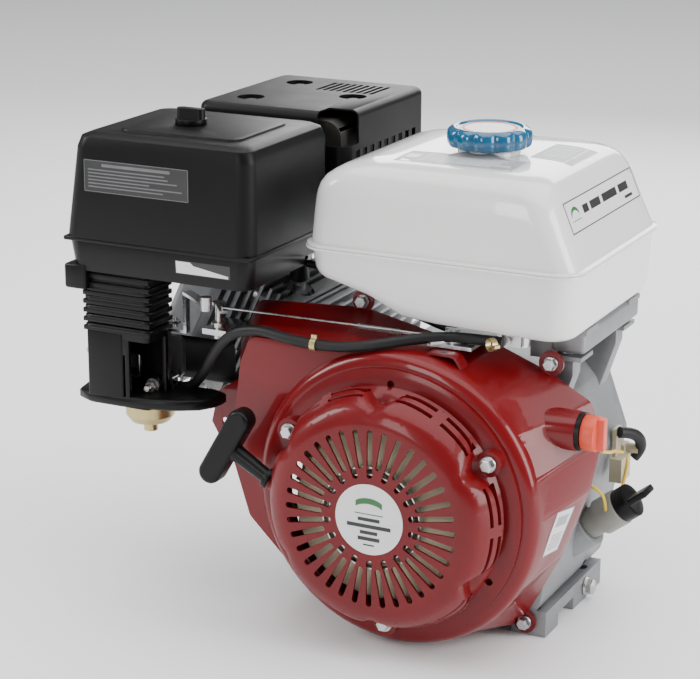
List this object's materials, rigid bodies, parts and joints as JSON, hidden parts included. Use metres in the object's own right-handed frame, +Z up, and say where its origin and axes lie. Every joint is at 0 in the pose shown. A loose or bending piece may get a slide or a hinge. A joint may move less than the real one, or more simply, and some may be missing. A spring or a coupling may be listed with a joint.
{
  "type": "small petrol engine",
  "caption": "Air-cooled single-cylinder petrol engine with pull starter, fuel tank, air cleaner, muffler and a keyed horizontal output shaft.",
  "frame": {"origin": "middle of the four base bolts, in the plane the feet stand on", "axes": "+Z up, +Y along the crankshaft to the output end, +X to the fuel tank side"},
  "size_m": [0.5003, 0.3769, 0.44],
  "materials": {
    "cast_alu": "satin",
    "red_paint": "gloss",
    "white_paint": "gloss",
    "black_plastic": "matte",
    "black_metal": "matte",
    "steel": "satin",
    "zinc": "satin",
    "iron": "matte",
    "rubber": "matte",
    "brass": "satin",
    "blue_cap": "gloss",
    "orange_plastic": "gloss",
    "tan_plastic": "matte",
    "foam": "matte",
    "rope": "matte",
    "yellow_wire": "satin",
    "grey_plastic": "matte"
  },
  "bodies": {
    "engine": {"air_base": "black_plastic", "air_filter": "foam", "bearing_outers": "steel", "carburettor": "cast_alu", "case_bolts": "zinc", "connecting_rod": "cast_alu", "control_bracket": "zinc", "crankcase": "cast_alu", "cylinder_head": "cast_alu", "cylinder_liner": "iron", "engine_switch": "black_plastic", "exhaust_pipe": "iron", "fan_cover": "red_paint", "float_bowl": "brass", "fuel_hose": "rubber", "fuel_tank": "white_paint", "fuel_valve": "zinc", "gaskets": "rubber", "governor_rod": "zinc", "governor_spring": "zinc", "hose_clips": "brass", "ht_lead": "rubber", "ignition_coil": "black_plastic", "intake_elbow": "black_plastic", "intake_pipe": "black_plastic", "muffler": "iron", "muffler_guard": "black_metal", "oil_alert": "tan_plastic", "oil_filler": "grey_plastic", "oil_seals": "rubber", "piston": "cast_alu", "plug_cap": "rubber", "pull_rope": "rope", "recoil_cover": "red_paint", "rewind_spring": "steel", "rocker_cover": "cast_alu", "side_cover": "cast_alu", "small_bolts": "zinc", "spark_plug": "zinc", "switch_wire": "yellow_wire", "tank_brackets": "zinc", "tappets": "steel", "valve_train": "steel"},
    "crank": {"crankshaft": "steel", "crank_fittings": "steel", "flywheel": "iron", "fan": "tan_plastic", "starter_cup": "steel"},
    "cam": {"camshaft": "iron"},
    "handle": {"pull_handle": "black_plastic"},
    "reel": {"rope_reel": "tan_plastic"},
    "tank_cap": {"fuel_cap": "blue_cap"},
    "air_lid": {"air_cover": "black_plastic"},
    "air_wing_nut": {"air_knob": "black_plastic"},
    "oil_dipstick": {"dipstick": "black_plastic"},
    "switch_turner": {"switch_knob": "orange_plastic"},
    "choke_lever": {"choke": "zinc"},
    "throttle_shaft": {"throttle": "zinc"},
    "governor_lever": {"governor_arm": "zinc"},
    "speed_control": {"speed_lever": "zinc"}
  },
  "joints": [
    {"name": "crank_spin", "type": "hinge", "parent": "engine", "child": "crank", "pos_m": [0, 0, 0.133], "axis": [0, 1, 0], "continuous": true, "deforming": ["connecting_rod", "tappets"]},
    {"name": "cam_spin", "type": "hinge", "parent": "engine", "child": "cam", "pos_m": [-0.06143, 0, 0.09544], "axis": [0, 1, 0], "continuous": true},
    {"name": "rope_pull", "type": "slide", "parent": "engine", "child": "handle", "axis": [-0.866, 0, 0.5], "range_m": [0, 0.6], "deforming": ["pull_rope"]},
    {"name": "reel_turn", "type": "hinge", "parent": "engine", "child": "reel", "pos_m": [0, 0, 0.133], "axis": [0, 1, 0], "range_deg": [0, 600], "deforming": ["rewind_spring"]},
    {"name": "cap_turn", "type": "hinge", "parent": "engine", "child": "tank_cap", "pos_m": [0.028, -0.009, 0.42], "axis": [0, 0, 1], "range_deg": [0, 90]},
    {"name": "lid_lift", "type": "slide", "parent": "engine", "child": "air_lid", "axis": [0, 0, 1], "range_m": [0, 0.12]},
    {"name": "wing_nut_turn", "type": "hinge", "parent": "air_lid", "child": "air_wing_nut", "pos_m": [-0.227, -0.075, 0.43], "axis": [0, 0, 1], "continuous": true},
    {"name": "dipstick_pull", "type": "slide", "parent": "engine", "child": "oil_dipstick", "axis": [0.7901, 0, 0.613], "range_m": [0, 0.09]},
    {"name": "switch_turn", "type": "hinge", "parent": "engine", "child": "switch_turner", "pos_m": [0.155, -0.087, 0.204], "axis": [1, 0, 0], "range_deg": [0, 60]},
    {"name": "choke_turn", "type": "hinge", "parent": "engine", "child": "choke_lever", "pos_m": [-0.276, -0.092, 0.22], "axis": [0, 0, 1], "range_deg": [0, 25]},
    {"name": "throttle_turn", "type": "hinge", "parent": "engine", "child": "throttle_shaft", "pos_m": [-0.276, -0.071, 0.22], "axis": [0, 0, 1], "range_deg": [0, 54]},
    {"name": "governor_turn", "type": "hinge", "parent": "engine", "child": "governor_lever", "pos_m": [-0.2, -0.078, 0.245], "axis": [0, 0, 1], "range_deg": [0, 18], "deforming": ["governor_spring"]},
    {"name": "speed_turn", "type": "hinge", "parent": "engine", "child": "speed_control", "pos_m": [0.036, -0.092, 0.269], "axis": [0, 0, 1], "range_deg": [-25, 20], "deforming": ["governor_rod"]}
  ],
  "couplings": [
    {"joint": "cam_spin", "follows": "crank_spin", "ratio": -0.5},
    {"joint": "reel_turn", "follows": "rope_pull", "rad_per_m": 16.807},
    {"joint": "throttle_turn", "follows": "governor_turn", "ratio": 3}
  ]
}
